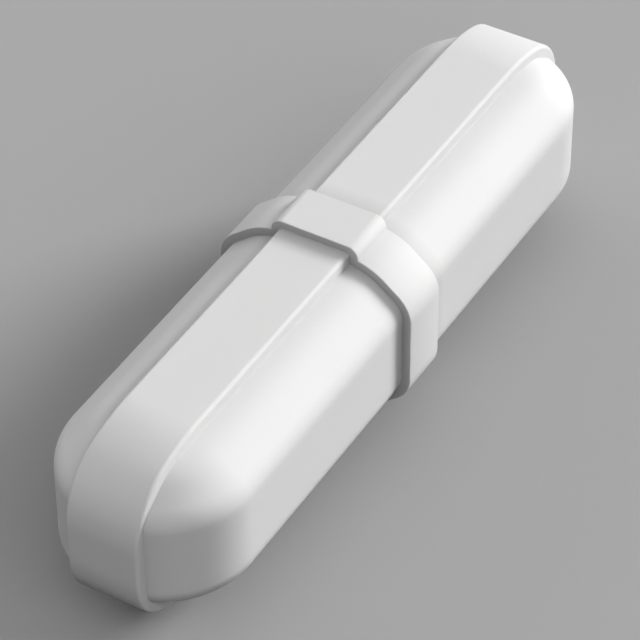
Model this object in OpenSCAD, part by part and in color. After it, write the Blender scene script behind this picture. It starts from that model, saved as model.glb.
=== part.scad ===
// Magnetic stirring bar with a pivot ring.
//
// A rod magnet is sealed inside one moulded PTFE jacket. The jacket is an eight-sided bar
// with rounded ends. A flat band is raised along its top, round both ends and along its
// underside, and a ring raised round its middle is what the bar stands and spins on.
//
// Lengths are in millimetres. +X runs along the bar and +Z is up. The origin is under the
// middle of the ring, on the surface that the bar stands on.

/* [Body] */
// Overall length of the bar, over the band at both tips
bar_length = 40; // [25:0.5:80]
// Width of the body across its two side faces
body_width = 9.6; // [8:0.1:14]
// Height of the body between its top and bottom faces, under the band
body_height = 8.2; // [6.8:0.1:12]
// How far a slanting face reaches in from the side face
bevel_across = 2.05; // [1.5:0.05:2.6]
// How far a slanting face reaches down from the top face
bevel_down = 1.65; // [1.3:0.05:2.1]
// Radius of the edge between a side face and a slanting face
side_edge_radius = 1.43; // [0.4:0.01:1.75]
// Radius of the edge between a slanting face and the top or bottom face
top_edge_radius = 2.87; // [1.5:0.01:3.45]

/* [Band] */
// Width of the band, across the bar
band_width = 3.8; // [2.6:0.05:5]
// How far the band stands up from the top and bottom faces
band_rise = 0.68; // [0.45:0.01:0.9]
// How far the band stands out from the body's tips
band_tip_rise = 0.2; // [0.1:0.01:0.3]
// How far the band stands off the rounded shoulder of the body's ends
band_corner_rise = 0.34; // [0.25:0.01:0.4]
// Radius of the band where it turns off the flat of the nose
band_nose_radius = 5; // [4:0.1:8]
// Radius of the band where it eases into the flat top
band_shoulder_radius = 9.5; // [7.5:0.1:12]
// Radius of the band's two outer edges
band_edge_radius = 0.2; // [0.05:0.01:0.35]

/* [Pivot ring] */
// Length of the ring, along the bar
ring_length = 2.75; // [1.5:0.05:5]
// How far the ring stands out from the body's faces, all round
ring_rise = 0.44; // [0.25:0.01:0.8]
// How far the ring's top and bottom pads stand out from the band
ring_pad_rise = 0.37; // [0.25:0.01:0.8]
// How much wider than the band a pad is, on each side
ring_pad_margin = 0.46; // [0.2:0.01:0.8]
// Radius of a pad's long edges
ring_pad_edge_radius = 0.6; // [0.2:0.01:0.62]

/* [Magnet] */
// Thickness of the jacket between the magnet and the nearest faces of the body
jacket_wall = 1.1; // [0.8:0.05:2]
// Thickness of the jacket beyond each end of the magnet
end_wall = 4; // [2.5:0.1:8]
// Chamfer round the magnet's two ends
magnet_chamfer = 0.4; // [0.1:0.05:1]

/* [Hidden] */
$fn = 96;

// Most degrees of a rounded edge that one straight side of an outline stands for
arc_step = 6;
// Straight sides that round off each long edge of the band
band_edge_steps = 3;

// Half the height over the band, and the height of the bar's axis over the surface
band_reach = body_height / 2 + band_rise;
axis_height = band_reach + ring_pad_rise;

// Slope of the slanting faces, and the centres of the arcs at their two edges
bevel_slope = atan2(bevel_down, bevel_across);
side_edge_centre = [
    body_width / 2 - side_edge_radius,
    body_height / 2 - bevel_down - edge_setback(side_edge_radius, 90 - bevel_slope)
];
top_edge_centre = [
    body_width / 2 - bevel_across - edge_setback(top_edge_radius, bevel_slope),
    body_height / 2 - top_edge_radius
];

// The body's ends are its section turned about upright lines at this distance along the bar
body_turn_x = bar_length / 2 - band_tip_rise - body_width / 2;

// The band's side view. Its corner arc has the same centre as the shoulder of the body's end,
// and reaches no further than the tip. The nose arc joins it to the flat of the nose, and the
// shoulder arc joins it to the flat top.
corner_centre = [body_turn_x + top_edge_centre.x, top_edge_centre.y];
corner_radius = min(top_edge_radius + band_corner_rise, bar_length / 2 - corner_centre.x);
nose_x = bar_length / 2 - band_nose_radius;
nose_turn = acos((corner_centre.x - nose_x) / (band_nose_radius - corner_radius));
nose_centre = [nose_x, corner_centre.y - (band_nose_radius - corner_radius) * sin(nose_turn)];
shoulder_y = band_reach - band_shoulder_radius;
shoulder_turn = acos((corner_centre.y - shoulder_y) / (band_shoulder_radius - corner_radius));
shoulder_centre = [
    corner_centre.x - (band_shoulder_radius - corner_radius) * sin(shoulder_turn),
    shoulder_y
];

// The magnet is as thick and as long as the jacket's walls leave room for
magnet_radius = min(body_width, body_height) / 2 - jacket_wall;
magnet_half_length = bar_length / 2 - end_wall;

// Distance from a sharp corner to where its rounding begins, when the sides turn by an angle
function edge_setback(radius, turn) = radius * tan(turn / 2);

// Points round an arc, from one direction to another
function arc(centre, radius, from, to) =
    let (steps = max(1, ceil((to - from) / arc_step)))
    [for (i = [0:steps])
        let (angle = from + (to - from) * i / steps)
        centre + radius * [cos(angle), sin(angle)]];

// An outline that is the same in all four quarters, from the points of its first quarter,
// which run round from the X axis to the Y axis
function all_round(quarter) =
    let (last = len(quarter) - 1)
    concat(
        quarter,
        [for (i = [last:-1:0]) [-quarter[i].x, quarter[i].y]],
        [for (i = [0:last]) -quarter[i]],
        [for (i = [last:-1:0]) [quarter[i].x, -quarter[i].y]]
    );

// A quarter of the body's section across the bar, grown outwards by a distance
function section_quarter(growth) = concat(
    arc(side_edge_centre, side_edge_radius + growth, 0, 90 - bevel_slope),
    arc(top_edge_centre, top_edge_radius + growth, 90 - bevel_slope, 90)
);

// A quarter of the band's side view, drawn in from its outer face by a distance
function band_quarter(inset) = concat(
    arc(nose_centre, band_nose_radius - inset, 0, nose_turn),
    arc(corner_centre, corner_radius - inset, nose_turn, 90 - shoulder_turn),
    arc(shoulder_centre, band_shoulder_radius - inset, 90 - shoulder_turn, 90)
);

// Stands an outline up across the bar and draws it out along the bar
module along_bar(length) {
    rotate([90, 0, 90])
        linear_extrude(height = length, center = true)
            children();
}

// The eight-sided bar, with its section turned through half a circle at each end
module body() {
    along_bar(2 * body_turn_x)
        polygon(all_round(section_quarter(0)));
    for (end = [0, 180])
        rotate([0, 0, end])
            translate([body_turn_x, 0, 0])
                rotate([0, 0, -90])
                    rotate_extrude(angle = 180)
                        intersection() {
                            polygon(all_round(section_quarter(0)));
                            translate([0, -body_height])
                                square([body_width, 2 * body_height]);
                        }
}

// The band, lengthwise round the bar. It is solid right through, inside the body. Each slab
// takes in one step of the rounding of its two long edges.
module band() {
    hull()
        for (step = [0:band_edge_steps]) {
            angle = 90 * step / band_edge_steps;
            sideways = band_edge_radius * (1 - cos(angle));
            inwards = band_edge_radius * (1 - sin(angle));
            rotate([90, 0, 0])
                linear_extrude(height = band_width - 2 * sideways, center = true)
                    polygon(all_round(band_quarter(inwards)));
        }
}

// The pivot ring: the body's section grown outwards, and a wider pad over the band
module ring() {
    pad_corner = [
        band_width / 2 + ring_pad_margin - ring_pad_edge_radius,
        axis_height - ring_pad_edge_radius
    ];
    along_bar(ring_length) {
        polygon(all_round(section_quarter(ring_rise)));
        polygon(all_round(arc(pad_corner, ring_pad_edge_radius, 0, 90)));
    }
}

// The rod magnet, which the jacket's sealed cavity fits exactly
module magnet_rod() {
    rotate([0, 90, 0])
        rotate_extrude()
            polygon([
                [0, -magnet_half_length],
                [magnet_radius - magnet_chamfer, -magnet_half_length],
                [magnet_radius, -magnet_half_length + magnet_chamfer],
                [magnet_radius, magnet_half_length - magnet_chamfer],
                [magnet_radius - magnet_chamfer, magnet_half_length],
                [0, magnet_half_length]
            ]);
}

module jacket() {
    color("white")
        translate([0, 0, axis_height])
            difference() {
                union() {
                    body();
                    band();
                    ring();
                }
                magnet_rod();
            }
}

module magnet() {
    color("dimgray")
        translate([0, 0, axis_height])
            magnet_rod();
}

jacket();
magnet();
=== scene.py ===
# %% [markdown]
# # Magnetic stirring bar
#
# A stirring bar lies in a beaker and is spun by a magnet under it. It is a rod magnet sealed
# in one white PTFE moulding: an eight-sided bar with rounded ends, a flat band that runs
# lengthwise right round it, and a ring round its middle that it stands and spins on.
#
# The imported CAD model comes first, as a fixed frame. Everything below takes its place and its
# overall size from it. Blender works in metres here, and the bar lies along X.

# %% Load the frame
import math

import bpy
import bmesh
from mathutils import Euler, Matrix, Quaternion, Vector


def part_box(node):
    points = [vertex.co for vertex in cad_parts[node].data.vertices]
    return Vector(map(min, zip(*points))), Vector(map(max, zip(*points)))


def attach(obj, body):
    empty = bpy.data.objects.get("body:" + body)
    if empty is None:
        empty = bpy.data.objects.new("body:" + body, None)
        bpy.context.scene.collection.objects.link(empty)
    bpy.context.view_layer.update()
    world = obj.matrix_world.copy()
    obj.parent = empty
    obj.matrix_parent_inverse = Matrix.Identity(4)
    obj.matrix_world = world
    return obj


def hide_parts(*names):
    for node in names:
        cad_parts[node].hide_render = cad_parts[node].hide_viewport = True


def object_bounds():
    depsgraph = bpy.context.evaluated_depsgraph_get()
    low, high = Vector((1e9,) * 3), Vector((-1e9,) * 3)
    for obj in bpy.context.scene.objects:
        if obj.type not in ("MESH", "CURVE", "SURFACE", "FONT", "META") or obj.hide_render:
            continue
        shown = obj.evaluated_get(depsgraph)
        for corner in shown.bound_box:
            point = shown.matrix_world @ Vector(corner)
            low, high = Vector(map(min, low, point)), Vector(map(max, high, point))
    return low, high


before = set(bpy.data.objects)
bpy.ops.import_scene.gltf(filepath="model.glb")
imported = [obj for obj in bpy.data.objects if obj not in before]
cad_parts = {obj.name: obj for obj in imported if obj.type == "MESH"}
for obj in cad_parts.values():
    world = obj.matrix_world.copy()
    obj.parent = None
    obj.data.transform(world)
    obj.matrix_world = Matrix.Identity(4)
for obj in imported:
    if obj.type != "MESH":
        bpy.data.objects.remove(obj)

CAD_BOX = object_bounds()
MM = 0.001
jacket_low, jacket_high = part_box("jacket")
bar_middle = (jacket_low + jacket_high) / 2
print("CAD box, in mm:", [round(v / MM, 2) for v in jacket_high - jacket_low])

# %% [markdown]
# ## The sizes of the moulding
#
# The moulding is the same in all eight corners about its middle, so only one corner has to be
# drawn: forward, to the right and up from the middle of the bar. The whole length, the height
# over the ring and the width over the ring are read from the frame. The smaller sizes are
# those of the moulding's drawing, each written once.

# %% Name the sizes, in metres
half_length = (jacket_high.x - jacket_low.x) / 2
ring_half_height = (jacket_high.z - jacket_low.z) / 2
ring_half_width = (jacket_high.y - jacket_low.y) / 2

ring_rise = 0.44 * MM
ring_pad_rise = 0.37 * MM
ring_half_length = 1.375 * MM
ring_edge_radius = 0.04 * MM
pad_margin = 0.46 * MM
pad_corner_radius = 0.6 * MM

band_half_width = 1.9 * MM
band_rise = 0.68 * MM
band_tip_rise = 0.2 * MM
band_corner_rise = 0.34 * MM
band_edge_radius = 0.2 * MM
band_nose_radius = 5 * MM
band_shoulder_radius = 9.5 * MM

bevel_across = 2.05 * MM
bevel_down = 1.65 * MM
side_edge_radius = 1.43 * MM
top_edge_radius = 2.87 * MM

body_half_width = ring_half_width - ring_rise
band_half_height = ring_half_height - ring_pad_rise
body_half_height = band_half_height - band_rise
print("body, in mm:", round(2 * body_half_width / MM, 2), "by", round(2 * body_half_height / MM, 2))

# %% [markdown]
# ## The centres of the rounded edges
#
# A rounded edge is an arc that touches the two faces it joins. Its centre lies in from both of
# them by its radius. Where the faces meet at a slant, the arc starts a little before the sharp
# corner, by the radius times the tangent of half the turn. The ends of the bar are the same
# section turned about an upright line, which lies half a width in from the body's tip.

# %% Work out the centres
slope = math.atan2(bevel_down, bevel_across)
side_turn = math.pi / 2 - slope


def setback(radius, turn):
    """How far before a sharp corner its rounding starts."""
    return radius * math.tan(turn / 2)


side_centre = Vector((
    body_half_width - side_edge_radius,
    body_half_height - bevel_down - setback(side_edge_radius, side_turn),
))
top_centre = Vector((
    body_half_width - bevel_across - setback(top_edge_radius, slope),
    body_half_height - top_edge_radius,
))
turn_x = half_length - band_tip_rise - body_half_width

corner_centre = Vector((turn_x + top_centre.x, top_centre.y))
corner_radius = top_edge_radius + band_corner_rise
nose_x = half_length - band_nose_radius
nose_reach = band_nose_radius - corner_radius
nose_turn = math.acos((corner_centre.x - nose_x) / nose_reach)
nose_centre = Vector((nose_x, corner_centre.y - nose_reach * math.sin(nose_turn)))
shoulder_reach = band_shoulder_radius - corner_radius
shoulder_y = band_half_height - band_shoulder_radius
shoulder_turn = math.acos((corner_centre.y - shoulder_y) / shoulder_reach)
shoulder_centre = Vector((corner_centre.x - shoulder_reach * math.sin(shoulder_turn), shoulder_y))
print("slope of the slanting faces:", round(math.degrees(slope), 2), "degrees")

# %% [markdown]
# ## Two sketches
#
# A raised band and a raised ring are the same kind of thing: a step that follows a line on the
# body. A sketch is a row of stations along that line, and each station knows three things: its
# foot, where the step leaves the surface below, its outline, where the raised face lies, and
# which way is outward there. Both sketches share their feet with the body, point for point, so
# that the finished skin closes with no gap and no hidden face.
#
# The stations could be spread evenly, but then they would miss the places where an arc begins.
# Each stretch of the section gets its own number of steps instead.

# %% Draw the ring's sketch, which also holds the section of the body
SIDE_STEPS = 6
SIDE_ARC_STEPS = 16
SLANT_STEPS = 8
TOP_ARC_STEPS = 14
END_STEPS = 30
PAD_FOOT_STEPS = 8
RING_EDGE_STEPS = 4
BAND_EDGE_STEPS = 6


def heading(angle):
    """The unit vector in a direction."""
    return Vector((math.cos(angle), math.sin(angle)))


def shares(steps):
    """Even shares from 0 up to, but not including, 1."""
    return [step / steps for step in range(steps)]


def reach_angle(reach):
    """Where the top arc of the section is this far beyond the band's side wall at the end."""
    across = math.hypot(band_half_width, reach)
    return math.acos((across - top_centre.x) / top_edge_radius)


def reach_at(angle):
    """How far the end's skin runs on beyond the turn, in the plane of the band's side wall."""
    across = top_centre.x + top_edge_radius * math.cos(angle)
    return math.sqrt(max(across ** 2 - band_half_width ** 2, 0))


def section_stations():
    """Foot, outline and outward direction round the section, up to the band's side wall."""
    grown = Vector((ring_rise, 0))
    level = Vector((1, 0))
    for share in shares(SIDE_STEPS):
        foot = Vector((body_half_width, side_centre.y * share))
        yield foot, foot + grown, level
    for share in shares(SIDE_ARC_STEPS):
        outward = heading(side_turn * share)
        foot = side_centre + side_edge_radius * outward
        yield foot, foot + ring_rise * outward, outward
    outward = heading(side_turn)
    slant_start = side_centre + side_edge_radius * outward
    slant_end = top_centre + top_edge_radius * outward
    for share in shares(SLANT_STEPS):
        foot = slant_start.lerp(slant_end, share)
        yield foot, foot + ring_rise * outward, outward

    pad_half_width = band_half_width + pad_margin
    grown_radius = top_edge_radius + ring_rise
    pad_angle = math.acos((pad_half_width - top_centre.x) / grown_radius)
    first_reach = reach_at(side_turn)
    pad_reach = reach_at(pad_angle)
    for share in shares(TOP_ARC_STEPS):
        outward = heading(reach_angle(first_reach + (pad_reach - first_reach) * share))
        yield top_centre + top_edge_radius * outward, top_centre + grown_radius * outward, outward
    outward = heading(pad_angle)
    mitre = (outward + level) / (1 + outward.dot(level))
    yield top_centre + top_edge_radius * outward, top_centre + grown_radius * outward, mitre

    pad_centre = Vector((
        pad_half_width - pad_corner_radius,
        ring_half_height - pad_corner_radius,
    ))
    feet = []
    for step in range(1, PAD_FOOT_STEPS + 1):
        angle = reach_angle(pad_reach * (1 - step / PAD_FOOT_STEPS))
        feet.append(top_centre + top_edge_radius * heading(angle))
    for step in range(BAND_EDGE_STEPS + 1):
        edge = heading(math.pi / 2 * step / BAND_EDGE_STEPS) - Vector((1, 1))
        feet.append(Vector((band_half_width, band_half_height)) + band_edge_radius * edge)
    for step, foot in enumerate(feet):
        outward = heading(math.pi / 2 * step / (len(feet) - 1))
        yield foot, pad_centre + pad_corner_radius * outward, outward
    upward = Vector((0, 1))
    yield Vector((0, band_half_height)), Vector((0, ring_half_height)), upward


def across_bar(point, along=0.0):
    """A point of the section, stood up across the bar."""
    return Vector((along, point.x, point.y))


ring_sketch = []
for foot, outline, outward in section_stations():
    ring_sketch.append((
        across_bar(foot, ring_half_length),
        across_bar(outline),
        across_bar(outward),
    ))
SECTION_POINTS = len(ring_sketch) - BAND_EDGE_STEPS - 2
section = [foot for foot, outline, outward in ring_sketch[:SECTION_POINTS]]
print("ring sketch:", len(ring_sketch), "stations, of which the body's section is", SECTION_POINTS)

# %% [markdown]
# The band's sketch starts at the ring and runs to the nose. Along the straight part its foot is
# the top line of the body. At the end the foot is where the turned section meets the band's
# side wall, so there is one station for each point of the section, taken from the top down.
#
# The straight stretch could have even steps. Its steps grow with the square of their number
# instead, so that they are finest at the foot of the ring, where the painted shade in the white
# changes.

# %% Draw the band's sketch
STRAIGHT_STEPS = 16
SPLIT_ANGLE = math.radians(40)


def along_bar(point, across=0.0):
    """A point of the side view, stood up along the bar."""
    return Vector((point.x, across, point.y))


def arc_stations(centre, radius, start, end, steps):
    """Outline and outward direction along an arc, without its last point."""
    for share in shares(steps):
        outward = heading(start + (end - start) * share)
        yield centre + radius * outward, outward


def band_outline():
    """Outline and outward direction of the band's side view, from the ring to the nose."""
    upward = Vector((0, 1))
    for share in shares(STRAIGHT_STEPS):
        along = ring_half_length + (shoulder_centre.x - ring_half_length) * share ** 2
        yield Vector((along, band_half_height)), upward
    straight_up = math.pi / 2
    corner_start = straight_up - shoulder_turn
    yield from arc_stations(
        shoulder_centre, band_shoulder_radius, straight_up, corner_start,
        TOP_ARC_STEPS + PAD_FOOT_STEPS,
    )
    yield from arc_stations(corner_centre, corner_radius, corner_start, SPLIT_ANGLE, SLANT_STEPS)
    yield from arc_stations(corner_centre, corner_radius, SPLIT_ANGLE, nose_turn, SIDE_ARC_STEPS)
    yield from arc_stations(nose_centre, band_nose_radius, nose_turn, 0, SIDE_STEPS - 1)
    yield Vector((half_length, nose_centre.y)), heading(0)
    yield Vector((half_length, 0)), heading(0)


def band_feet():
    """Where the band's side wall stands on the body, from the ring to the nose."""
    top = section[-1].z
    for share in shares(STRAIGHT_STEPS):
        along = ring_half_length + (turn_x - ring_half_length) * share ** 2
        yield Vector((along, band_half_width, top))
    for point in reversed(section):
        reach = math.sqrt(max(point.y ** 2 - band_half_width ** 2, 0))
        yield Vector((turn_x + reach, band_half_width, point.z))


band_sketch = []
for foot, (outline, outward) in zip(band_feet(), band_outline(), strict=True):
    band_sketch.append((foot, along_bar(outline), along_bar(outward)))
print("band sketch:", len(band_sketch), "stations")

# %% [markdown]
# ## Turn the sketches into objects
#
# Geometry Nodes can read a plain mesh, so each sketch becomes a line of points and edges. The
# outline is where the points lie. The foot and the outward direction go with them as named
# attributes.

# %% Store the sketches


def sketch_object(name, stations):
    """A line of points and edges that carries a sketch."""
    mesh = bpy.data.meshes.new(name)
    edges = [(station, station + 1) for station in range(len(stations) - 1)]
    mesh.from_pydata([outline for foot, outline, outward in stations], edges, [])
    for label, column in (("foot", 0), ("outward", 2)):
        attribute = mesh.attributes.new(label, "FLOAT_VECTOR", "POINT")
        for point, station in zip(attribute.data, stations):
            point.vector = station[column]
    return bpy.data.objects.new(name, mesh)


ring_drawing = sketch_object("ring_drawing", ring_sketch)
band_drawing = sketch_object("band_drawing", band_sketch)
print("attributes:", [a.name for a in band_drawing.data.attributes])

# %% [markdown]
# ## Write node trees as sums
#
# Wiring a tree by hand takes a line of code for each node and each link. Here one small class
# holds an output socket, and a sum on it adds the node that works it out: a Math node for a
# number, or a Vector Math node where a vector takes part. Any other node comes from one method,
# which sets its options first, because they decide which sockets the node has.

# %% Make the helpers


class Wire:
    """An output socket. A sum on it adds a Math or Vector Math node to the same tree."""

    def __init__(self, board, socket):
        self.board = board
        self.socket = socket

    def out(self, name):
        """Another output of the same node."""
        return Wire(self.board, self.socket.node.outputs[name])

    def maths(self, operation, *values):
        """A Math node, or a Vector Math node if any of the values is a vector."""
        kinds = [v.socket.type for v in values if isinstance(v, Wire)]
        node = "ShaderNodeVectorMath" if "VECTOR" in kinds else "ShaderNodeMath"
        return self.board.node(node, {"operation": operation}, dict(enumerate(values)))

    def __add__(self, other):
        return self.maths("ADD", self, other)

    def __radd__(self, other):
        return self.maths("ADD", other, self)

    def __sub__(self, other):
        return self.maths("SUBTRACT", self, other)

    def __rsub__(self, other):
        return self.maths("SUBTRACT", other, self)

    def __mul__(self, other):
        return self.maths("MULTIPLY", self, other)

    def __rmul__(self, other):
        return self.maths("MULTIPLY", other, self)

    def __truediv__(self, other):
        return self.maths("DIVIDE", self, other)

    def __rtruediv__(self, other):
        return self.maths("DIVIDE", other, self)

    def __lt__(self, other):
        return self.maths("LESS_THAN", self, other)

    def __gt__(self, other):
        return self.maths("GREATER_THAN", self, other)


class Board:
    """A node tree, and the one way in which nodes are added to it."""

    def __init__(self, tree):
        self.tree = tree

    def node(self, kind, settings=None, sockets=None):
        """Adds a node, sets its options, then fills or links its sockets by name or place."""
        node = self.tree.nodes.new(kind)
        node.location = (220 * (len(self.tree.nodes) % 12), -260 * (len(self.tree.nodes) // 12))
        for name, value in (settings or {}).items():
            setattr(node, name, value)
        inputs = [socket for socket in node.inputs if socket.enabled]
        for key, values in (sockets or {}).items():
            named = [socket for socket in inputs if socket.name == key]
            socket = named[0] if named else inputs[key]
            for value in values if isinstance(values, list) else [values]:
                self.fill(socket, value)
        outputs = [socket for socket in node.outputs if socket.enabled]
        return Wire(self, outputs[0]) if outputs else None

    def fill(self, socket, value):
        """Links a wire to a socket, or writes a plain value into it."""
        if isinstance(value, Wire):
            self.tree.links.new(value.socket, socket)
        elif socket.type == "VECTOR" and isinstance(value, (int, float)):
            socket.default_value = (value,) * 3
        else:
            socket.default_value = value


def new_group(name, inputs):
    """A Geometry Nodes tree with named inputs. Returns its board and its inputs by name."""
    tree = bpy.data.node_groups.new(name, "GeometryNodeTree")
    for label, kind in inputs.items():
        tree.interface.new_socket(label, in_out="INPUT", socket_type="NodeSocket" + kind)
    tree.interface.new_socket("Mesh", in_out="OUTPUT", socket_type="NodeSocketGeometry")
    board = Board(tree)
    entry = board.node("NodeGroupInput")
    return board, {label: entry.out(label) for label in inputs}


print("an expression such as 1 - wire now adds its own node")

# %% [markdown]
# ## A grid that knows its rows
#
# Every patch of the skin starts as a flat grid, and a rule then says where each of its points
# goes. The Grid node numbers its points column by column, so the row and the column come from
# the point's number.

# %% Make the grid and the reader of a sketch


def numbered_grid(board, rows, columns):
    """A grid with the row and the column that each of its points is in."""
    grid = board.node("GeometryNodeMeshGrid", {}, {"Vertices X": rows, "Vertices Y": columns})
    number = board.node("GeometryNodeInputIndex")
    column = number.maths("MODULO", number, columns)
    row = number.maths("ROUND", (number - column) / columns)
    return grid, row, column


def named_vector(board, name):
    """Reads a named attribute."""
    settings = {"data_type": "FLOAT_VECTOR"}
    return board.node("GeometryNodeInputNamedAttribute", settings, {"Name": name})


def read_station(board, sketch, value, station):
    """Reads one value of a sketch at the numbered station."""
    settings = {"data_type": "FLOAT_VECTOR", "domain": "POINT"}
    sockets = {"Geometry": sketch, "Value": value, "Index": station}
    return board.node("GeometryNodeSampleIndex", settings, sockets)


def placed(board, grid, position):
    """Moves each point of a grid to its position."""
    return board.node("GeometryNodeSetPosition", {}, {"Geometry": grid, "Position": position})


def stored(board, mesh, name, value):
    """Stores a number at each point of a mesh, for the material to read."""
    settings = {"data_type": "FLOAT", "domain": "POINT"}
    sockets = {"Geometry": mesh, "Name": name, "Value": value}
    return board.node("GeometryNodeStoreNamedAttribute", settings, sockets)


# %% [markdown]
# ## The rule for a raised step
#
# One tree serves both the band and the ring. Its first row is the foot, and its last is the
# middle of the raised face. The rows between them go round the edge: they run from the top of
# the step's wall to the raised face on a quarter circle.

# %% Build the tree of the raised step
step_board, step_in = new_group("Raised step", {
    "Sketch": "Geometry",
    "Sweep": "Vector",
    "Half width": "Float",
    "Edge radius": "Float",
    "Edge steps": "Int",
})
step_sketch = step_in["Sketch"]
station_count = step_board.node(
    "GeometryNodeAttributeDomainSize", {"component": "MESH"}, {"Geometry": step_sketch}
)
step_grid, step_row, station = numbered_grid(
    step_board, step_in["Edge steps"] + 3, station_count
)
outline = read_station(
    step_board, step_sketch, step_board.node("GeometryNodeInputPosition"), station
)
foot = read_station(step_board, step_sketch, named_vector(step_board, "foot"), station)
outward = read_station(step_board, step_sketch, named_vector(step_board, "outward"), station)

share = (step_row - 1) / step_in["Edge steps"]
share = share.maths("MINIMUM", share.maths("MAXIMUM", share, 0), 1)
turned = share * (math.pi / 2)
drawn_in = step_in["Edge radius"] * (1 - turned.maths("COSINE", turned))
drawn_down = step_in["Edge radius"] * (1 - turned.maths("SINE", turned))
before_middle = step_row < step_in["Edge steps"] + 1.5
sideways = (step_in["Half width"] - drawn_in) * before_middle
raised = outline + step_in["Sweep"] * sideways - outward * drawn_down
step_place = step_board.node(
    "ShaderNodeMix", {"data_type": "VECTOR"}, {"Factor": step_row < 0.5, "A": raised, "B": foot}
)
step_board.node("NodeGroupOutput", {}, {"Mesh": placed(step_board, step_grid, step_place)})
print("raised step:", len(step_board.tree.nodes), "nodes")

# %% [markdown]
# ## The rule for the sides of the body
#
# The rows of this patch are the points of the section. Its columns first run straight along the
# bar, and then turn about the upright line at the end until they reach the band's side wall.
# How far a row may turn follows from how far out it lies: the cosine of the angle is the band's
# half width over that distance.

# %% Build the tree of the sides
side_board, side_in = new_group("Bar side", {
    "Sketch": "Geometry",
    "Section points": "Int",
    "Start": "Float",
    "Turn": "Float",
    "Band half width": "Float",
    "Straight steps": "Int",
    "End steps": "Int",
})
side_grid, side_row, side_column = numbered_grid(
    side_board, side_in["Section points"], side_in["Straight steps"] + side_in["End steps"] + 1
)
section_foot = read_station(
    side_board, side_in["Sketch"], named_vector(side_board, "foot"), side_row
)
section_point = side_board.node("ShaderNodeSeparateXYZ", {}, {"Vector": section_foot})
out_from_middle = section_point.out("Y")
straight_share = side_column / side_in["Straight steps"]
straight_share = straight_share.maths("MINIMUM", straight_share, 1)
straight_share = straight_share * straight_share
end_share = (side_column - side_in["Straight steps"]) / side_in["End steps"]
end_share = end_share.maths("MAXIMUM", end_share, 0)
widest = side_in["Band half width"] / out_from_middle
angle = end_share * widest.maths("ARCCOSINE", widest)
side_place = side_board.node("ShaderNodeCombineXYZ", {}, {
    "X": side_in["Start"]
    + straight_share * (side_in["Turn"] - side_in["Start"])
    + out_from_middle * angle.maths("SINE", angle),
    "Y": out_from_middle * angle.maths("COSINE", angle),
    "Z": section_point.out("Z"),
})
side_board.node("NodeGroupOutput", {}, {"Mesh": placed(side_board, side_grid, side_place)})
print("bar side:", len(side_board.tree.nodes), "nodes")

# %% [markdown]
# ## One corner, mirrored three times
#
# The three patches make one corner of the skin. A mirrored copy across each of the three middle
# planes gives all eight. A mirror turns every face inside out, so Flip Faces turns it back. Then
# the points that lie on each other are merged, and the skin is one closed shell.

# %% Build the tree of the mirror
mirror_board, mirror_in = new_group("Mirrored pair", {"Mesh": "Geometry", "Scale": "Vector"})
reflected = mirror_board.node(
    "GeometryNodeTransform", {}, {"Geometry": mirror_in["Mesh"], "Scale": mirror_in["Scale"]}
)
reflected = mirror_board.node("GeometryNodeFlipFaces", {}, {"Mesh": reflected})
both = mirror_board.node(
    "GeometryNodeJoinGeometry", {}, {"Geometry": [mirror_in["Mesh"], reflected]}
)
mirror_board.node("NodeGroupOutput", {}, {"Mesh": both})
print("mirrored pair:", len(mirror_board.tree.nodes), "nodes")

# %% [markdown]
# The whole moulding is one more tree, and its inputs are the sizes that a maker would change.
# It also stores how far each point lies from the foot of the ring, for the shade that the material
# paints there.
# Edges that turn more sharply than the limit stay crisp, which keeps the shading of the flat
# faces clean right up to the foot of each step.

# %% Build the tree of the moulding
bar_board, bar_in = new_group("Stirring bar", {
    "Ring sketch": "Object",
    "Band sketch": "Object",
    "Section points": "Int",
    "Ring half length": "Float",
    "Ring edge radius": "Float",
    "Ring edge steps": "Int",
    "Band half width": "Float",
    "Band edge radius": "Float",
    "Band edge steps": "Int",
    "Turn": "Float",
    "Straight steps": "Int",
    "End steps": "Int",
    "Middle": "Vector",
    "Merge distance": "Float",
    "Crisp angle": "Float",
    "Material": "Material",
})


def sketch_points(label):
    """The points of a sketch that is given as an object."""
    found = bar_board.node("GeometryNodeObjectInfo", {}, {"Object": bar_in[label]})
    return found.out("Geometry")


def group_node(board, used, sockets):
    """A node that holds another tree."""
    return board.node("GeometryNodeGroup", {"node_tree": used.tree}, sockets)


ring_patch = group_node(bar_board, step_board, {
    "Sketch": sketch_points("Ring sketch"),
    "Sweep": (1, 0, 0),
    "Half width": bar_in["Ring half length"],
    "Edge radius": bar_in["Ring edge radius"],
    "Edge steps": bar_in["Ring edge steps"],
})
band_patch = group_node(bar_board, step_board, {
    "Sketch": sketch_points("Band sketch"),
    "Sweep": (0, 1, 0),
    "Half width": bar_in["Band half width"],
    "Edge radius": bar_in["Band edge radius"],
    "Edge steps": bar_in["Band edge steps"],
})
side_patch = group_node(bar_board, side_board, {
    "Sketch": sketch_points("Ring sketch"),
    "Section points": bar_in["Section points"],
    "Start": bar_in["Ring half length"],
    "Turn": bar_in["Turn"],
    "Band half width": bar_in["Band half width"],
    "Straight steps": bar_in["Straight steps"],
    "End steps": bar_in["End steps"],
})
skin = bar_board.node(
    "GeometryNodeJoinGeometry", {}, {"Geometry": [ring_patch, band_patch, side_patch]}
)
foot_line = placed(bar_board, sketch_points("Ring sketch"), named_vector(bar_board, "foot"))
nearest = bar_board.node(
    "GeometryNodeProximity", {"target_element": "EDGES"}, {"Geometry": foot_line}
)
skin = stored(bar_board, skin, "from_ring", nearest.out("Distance"))
for across in ((1, -1, 1), (-1, 1, 1), (1, 1, -1)):
    skin = group_node(bar_board, mirror_board, {"Mesh": skin, "Scale": across})
skin = bar_board.node(
    "GeometryNodeTransform", {}, {"Geometry": skin, "Translation": bar_in["Middle"]}
)
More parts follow.
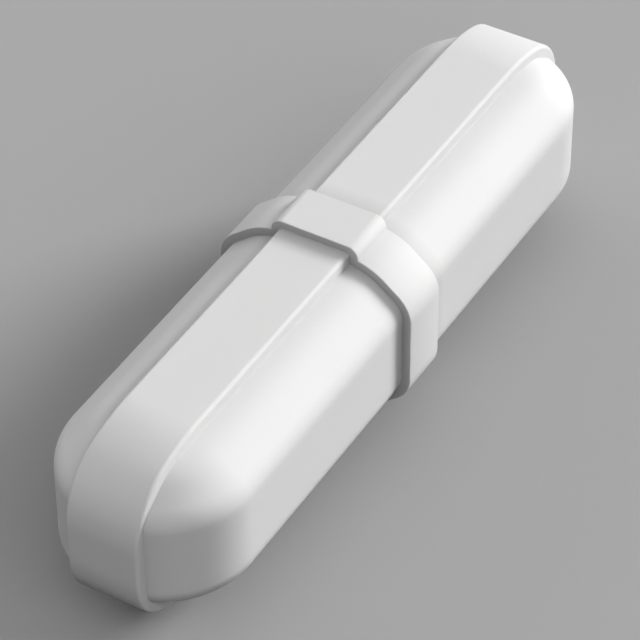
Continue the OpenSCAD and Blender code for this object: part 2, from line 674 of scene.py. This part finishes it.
skin = bar_board.node(
    "GeometryNodeMergeByDistance", {}, {"Geometry": skin, "Distance": bar_in["Merge distance"]}
)
skin = bar_board.node("GeometryNodeSetShadeSmooth", {}, {"Geometry": skin})
edge_angle = bar_board.node("GeometryNodeInputMeshEdgeAngle")
skin = bar_board.node("GeometryNodeSetShadeSmooth", {"domain": "EDGE"}, {
    "Geometry": skin,
    "Selection": edge_angle > bar_in["Crisp angle"],
    "Shade Smooth": False,
})
skin = bar_board.node("GeometryNodeRealizeInstances", {}, {"Geometry": skin})
skin = bar_board.node(
    "GeometryNodeSetMaterial", {}, {"Geometry": skin, "Material": bar_in["Material"]}
)
bar_board.node("NodeGroupOutput", {}, {"Mesh": skin})
print("stirring bar:", len(bar_board.tree.nodes), "nodes")

# %% [markdown]
# ## White PTFE
#
# PTFE is a dense white plastic with a waxy feel. It is moulded from pressed powder, so its tone
# drifts a very little, its gloss is soft and slightly uneven, and close up the surface has a fine
# grain. A plain white would look like paper. The patterns use object coordinates, so they stay
# on the bar from every side.
#
# The bar is clean and unworn, and this material adds no dirt. One thing in it is a help to the
# light and not a finish: the lamps leave the inner corner at the ring's foot too light, so the
# white is made greyer there. The skin carries its distance from the foot, and the grey fades out
# with it. The ring's own face, which lies in from both of its walls, stays white.

# %% Make the PTFE
# The grey, its strength and its reach are painted shade for the inner corner at the ring's foot.
CORNER_REACH = 1.3 * MM
CORNER_SHADE = 0.5
WARM_WHITE = (0.855, 0.855, 0.85, 1)
CLEAR_WHITE = (0.875, 0.875, 0.875, 1)
PAINTED_SHADE_GREY = (0.5, 0.5, 0.495, 1)


def new_material(name):
    """A material with an empty tree, and its board."""
    material = bpy.data.materials.new(name)
    material.use_nodes = True
    material.node_tree.nodes.clear()
    return material, Board(material.node_tree)


def noise(board, place, scale, detail=2.0, roughness=0.5):
    """Soft noise from 0 to 1 at a number of bumps per metre."""
    sockets = {"Vector": place, "Scale": scale, "Detail": detail, "Roughness": roughness}
    return board.node("ShaderNodeTexNoise", {}, sockets)


ptfe, ptfe_board = new_material("white_ptfe")
spot = ptfe_board.node("ShaderNodeTexCoord").out("Object")
tone = noise(ptfe_board, spot, 90)
sheen = noise(ptfe_board, spot, 420, detail=3)
grain = noise(ptfe_board, spot, 5200, detail=3, roughness=0.6)

from_ring = ptfe_board.node("ShaderNodeAttribute", {"attribute_name": "from_ring"}).out("Fac")
along = ptfe_board.node("ShaderNodeSeparateXYZ", {}, {"Vector": spot}).out("X") - bar_middle.x
ring_face = (ring_half_length - along.maths("ABSOLUTE", along)) / ring_edge_radius
ring_face = ring_face.maths("MAXIMUM", ring_face.maths("MINIMUM", ring_face, 1), 0)
near_foot = from_ring / CORNER_REACH
near_foot = 1 - near_foot.maths("MINIMUM", near_foot, 1)
# Painted shade: the white turns greyer near the ring's foot, where the lamps leave the inner corner
# too light. The ring's own face is left out.
painted_corner_shade = CORNER_SHADE * near_foot * (1 - ring_face) * (0.8 + 0.4 * sheen)
white_tone = ptfe_board.node("ShaderNodeMix", {"data_type": "RGBA"}, {
    "Factor": tone,
    "A": WARM_WHITE,
    "B": CLEAR_WHITE,
})
ptfe_colour = ptfe_board.node("ShaderNodeMix", {"data_type": "RGBA"}, {
    "Factor": painted_corner_shade,
    "A": white_tone,
    "B": PAINTED_SHADE_GREY,
})
ptfe_bump = ptfe_board.node("ShaderNodeBump", {}, {
    "Strength": 0.12,
    "Distance": 0.02 * MM,
    "Height": grain,
})
ptfe_surface = ptfe_board.node("ShaderNodeBsdfPrincipled", {}, {
    "Base Color": ptfe_colour,
    "Roughness": 0.56 + 0.1 * sheen,
    "IOR": 1.35,
    "Normal": ptfe_bump,
})
ptfe_board.node("ShaderNodeOutputMaterial", {}, {"Surface": ptfe_surface})
print("PTFE:", len(ptfe_board.tree.nodes), "nodes")

# %% [markdown]
# ## Put the moulding together
#
# A modifier's inputs are stored under the identifier of each socket, not under its name, so a
# small table turns one into the other. The tree is worked out once, and its result becomes a
# plain mesh. The normals are then worked out again from the outside, and weighted by the size
# of the faces, so that the large flat faces shade as flat ones right up to their rounded edges.

# %% Make the skin of the moulding
MERGE_DISTANCE = 0.001 * MM
CRISP_ANGLE = math.radians(33)

skin_sizes = {
    "Ring sketch": ring_drawing,
    "Band sketch": band_drawing,
    "Section points": SECTION_POINTS,
    "Ring half length": ring_half_length,
    "Ring edge radius": ring_edge_radius,
    "Ring edge steps": RING_EDGE_STEPS,
    "Band half width": band_half_width,
    "Band edge radius": band_edge_radius,
    "Band edge steps": BAND_EDGE_STEPS,
    "Turn": turn_x,
    "Straight steps": STRAIGHT_STEPS,
    "End steps": END_STEPS,
    "Middle": bar_middle,
    "Merge distance": MERGE_DISTANCE,
    "Crisp angle": CRISP_ANGLE,
    "Material": ptfe,
}


def keep_result(piece):
    """Turns what the modifiers make of a piece into its own plain mesh."""
    worked_out = piece.evaluated_get(bpy.context.evaluated_depsgraph_get())
    mesh = bpy.data.meshes.new_from_object(worked_out)
    mesh.name = piece.name
    piece.modifiers.clear()
    piece.data = mesh


jacket_skin = bpy.data.objects.new("jacket_skin", bpy.data.meshes.new("jacket_skin"))
bpy.context.collection.objects.link(jacket_skin)
maker = jacket_skin.modifiers.new("Stirring bar", "NODES")
maker.node_group = bar_board.tree
for socket in bar_board.tree.interface.items_tree:
    if socket.in_out == "INPUT":
        maker[socket.identifier] = skin_sizes[socket.name]
keep_result(jacket_skin)
bpy.data.objects.remove(ring_drawing)
bpy.data.objects.remove(band_drawing)

shell = bmesh.new()
shell.from_mesh(jacket_skin.data)
bmesh.ops.recalc_face_normals(shell, faces=shell.faces)
open_edges = [edge for edge in shell.edges if not edge.is_manifold]
print("volume, in cubic mm:", round(shell.calc_volume() / MM ** 3, 1), "open edges:", len(open_edges))
shell.to_mesh(jacket_skin.data)
shell.free()

weights = jacket_skin.modifiers.new("Face weights", "WEIGHTED_NORMAL")
weights.keep_sharp = True
keep_result(jacket_skin)
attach(jacket_skin, "root")
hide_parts("jacket")
print("skin:", len(jacket_skin.data.vertices), "points,", len(jacket_skin.data.polygons), "faces")

# %% [markdown]
# ## The magnet
#
# The rod inside is a cast magnet alloy, ground to size. It is sealed in and never seen, but it
# is part of the model, so it gets its own finish: dark grey metal, with grinding marks that run
# round the rod. They are noise that is squeezed along the bar.

# %% Make the magnet's alloy
DARK_ALLOY = (0.30, 0.29, 0.28, 1)
LIGHT_ALLOY = (0.42, 0.41, 0.40, 1)
GRINDING_MARKS = (9000, 500, 500)

alloy, alloy_board = new_material("cast_magnet_alloy")
spot = alloy_board.node("ShaderNodeTexCoord").out("Object")
grinding = noise(alloy_board, spot * GRINDING_MARKS, 1, detail=2)
casting = noise(alloy_board, spot, 700, detail=4)
alloy_colour = alloy_board.node("ShaderNodeMix", {"data_type": "RGBA"}, {
    "Factor": casting,
    "A": DARK_ALLOY,
    "B": LIGHT_ALLOY,
})
alloy_bump = alloy_board.node("ShaderNodeBump", {}, {
    "Strength": 0.3,
    "Distance": 0.02 * MM,
    "Height": grinding + 0.5 * casting,
})
alloy_surface = alloy_board.node("ShaderNodeBsdfPrincipled", {}, {
    "Base Color": alloy_colour,
    "Metallic": 1.0,
    "Roughness": 0.36 + 0.14 * grinding,
    "Normal": alloy_bump,
})
alloy_board.node("ShaderNodeOutputMaterial", {}, {"Surface": alloy_surface})

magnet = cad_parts["magnet"]
magnet.data.materials.clear()
magnet.data.materials.append(alloy)
print("magnet's material:", magnet.data.materials[0].name)

# %% [markdown]
# ## A plain floor
#
# The floor is a large sheet just under the bar. It is a pale grey, darker than the bar, so that
# a white object stands out from it. The camera sees the pale colour, while less light than that
# bounces up from it, so the undersides of the bar keep their shade. The backdrop is made the
# same way further on.

# %% Make the floor
FLOOR_REACH = 4.0
PALE_GREY = (0.5, 0.5, 0.5, 1)
FLOOR_BOUNCE = (0.06, 0.06, 0.06, 1)


def seen_directly(rays):
    """1 for what the camera sees, also in a reflection or through glass, and 0 for other light."""
    seen = rays.maths("MAXIMUM", rays, rays.out("Is Glossy Ray"))
    return seen.maths("MAXIMUM", seen, rays.out("Is Transmission Ray"))


floor_material, floor_board = new_material("plain_floor")
rays = floor_board.node("ShaderNodeLightPath")
floor_colour = floor_board.node("ShaderNodeMix", {"data_type": "RGBA"}, {
    "Factor": seen_directly(rays),
    "A": FLOOR_BOUNCE,
    "B": PALE_GREY,
})
floor_surface = floor_board.node("ShaderNodeBsdfDiffuse", {}, {"Color": floor_colour})
floor_board.node("ShaderNodeOutputMaterial", {}, {"Surface": floor_surface})

floor_mesh = bpy.data.meshes.new("floor")
floor_corners = [(-1, -1), (1, -1), (1, 1), (-1, 1)]
floor_mesh.from_pydata(
    [(x * FLOOR_REACH, y * FLOOR_REACH, CAD_BOX[0].z) for x, y in floor_corners],
    [],
    [range(4)],
)
floor_mesh.materials.append(floor_material)
floor = bpy.data.objects.new("floor", floor_mesh)
bpy.context.collection.objects.link(floor)
print("floor at height", CAD_BOX[0].z)

# %% [markdown]
# ## Light
#
# A white object shows its shape only through its shadows, so the lamps decide how well it reads.
# The key lamp hangs low beyond the far end, to the right, and rakes along the bar: each face gets
# a tone of its own, and the steps of the ring and the band throw short soft shadows. The sky is
# a sun lamp as wide as the sky itself. It fills what the key lamp leaves dark, and less of it
# reaches into a corner than on to an open face. Two narrower ones, high over the near end and
# low on the left, keep the faces that turn away from the key lamp from going grey.
#
# White throws so much light back that its own corners fill up and look flat. So the light of the
# wide lamps stops at the first surface that it reaches, by their Max Bounces of 0. That holds
# only for light that Cycles looks for at the lamp, so multiple importance sampling is off.
#
# A lamp's strength here says how bright a white sheet looks that faces it, and 1 is white. On the
# faces towards the key lamp they add up to a little over 1, and the white of the bar, which sends
# back less than nine tenths of the light, brings nearly all of that under the clipping point.
#
# Blender counts the key lamp's power as a whole and spreads it over the distance, so its strength
# is multiplied by pi times the distance squared. A sun lamp needs no such step.

# %% Make the lamps
LAMP_DISTANCE = 2.0
KEY_WIDTH = 0.7
WHOLE_SKY = math.pi
FILL_WIDTH = math.radians(60)
BACKDROP_BOUNCE = (0.04, 0.04, 0.04, 1)


def new_lamp(name, kind, towards, strength, bounces):
    """A lamp that faces the bar from a direction."""
    data = bpy.data.lights.new(name, kind)
    data.energy = strength * math.pi
    data.cycles.max_bounces = bounces
    lamp = bpy.data.objects.new(name, data)
    away = Vector(towards).normalized()
    lamp.location = bar_middle + away * LAMP_DISTANCE
    lamp.rotation_mode = "QUATERNION"
    lamp.rotation_quaternion = away.to_track_quat("Z", "Y")
    bpy.context.collection.objects.link(lamp)
    return data


key_lamp = new_lamp("key_lamp", "AREA", (0.82, -0.475, 0.32), 0.97, 2)
key_lamp.shape = "DISK"
key_lamp.size = KEY_WIDTH
key_lamp.energy *= math.pi * LAMP_DISTANCE ** 2


def new_wide_sun(name, towards, strength, width):
    """A sun lamp as wide as a part of the sky. Its light stops at the first surface."""
    data = new_lamp(name, "SUN", towards, strength, 0)
    data.angle = width
    data.cycles.use_multiple_importance_sampling = False


new_wide_sun("sky_lamp", (0, -0.2, 0.98), 0.32, WHOLE_SKY)
new_wide_sun("near_fill_lamp", (-0.4, -0.65, 0.62), 0.16, FILL_WIDTH)
new_wide_sun("left_fill_lamp", (0.1, 1, 0.15), 0.22, FILL_WIDTH)

world = bpy.data.worlds.new("studio")
world.use_nodes = True
world.node_tree.nodes.clear()
world_board = Board(world.node_tree)
rays = world_board.node("ShaderNodeLightPath")
backdrop_colour = world_board.node("ShaderNodeMix", {"data_type": "RGBA"}, {
    "Factor": seen_directly(rays),
    "A": BACKDROP_BOUNCE,
    "B": PALE_GREY,
})
backdrop = world_board.node("ShaderNodeBackground", {}, {"Color": backdrop_colour})
world_board.node("ShaderNodeOutputWorld", {}, {"Surface": backdrop})
bpy.context.scene.world = world
bpy.context.scene.view_settings.view_transform = "Standard"

# %% [markdown]
# ## Camera
#
# The camera looks down on the bar from beyond its near end with a long lens, so that the far
# end is only a little smaller than the near one.

# %% Make the camera
camera_data = bpy.data.cameras.new("camera")
camera_data.lens = 192.05
camera_data.clip_start = 0.01
camera = bpy.data.objects.new("camera", camera_data)
camera.location = bar_middle + Vector((-106.41, -62.14, 108.31)) * MM
camera_heading = math.radians(30.489)
camera_pitch = math.radians(41.649)
camera_roll = math.radians(-0.206)
level_look = Euler((math.pi / 2 - camera_pitch, 0, camera_heading - math.pi / 2))
camera.rotation_mode = "QUATERNION"
camera.rotation_quaternion = (
    level_look.to_quaternion() @ Quaternion((0, 0, 1), camera_roll)
)
bpy.context.collection.objects.link(camera)
bpy.context.scene.camera = camera
print("camera at", [round(v, 4) for v in camera.location])
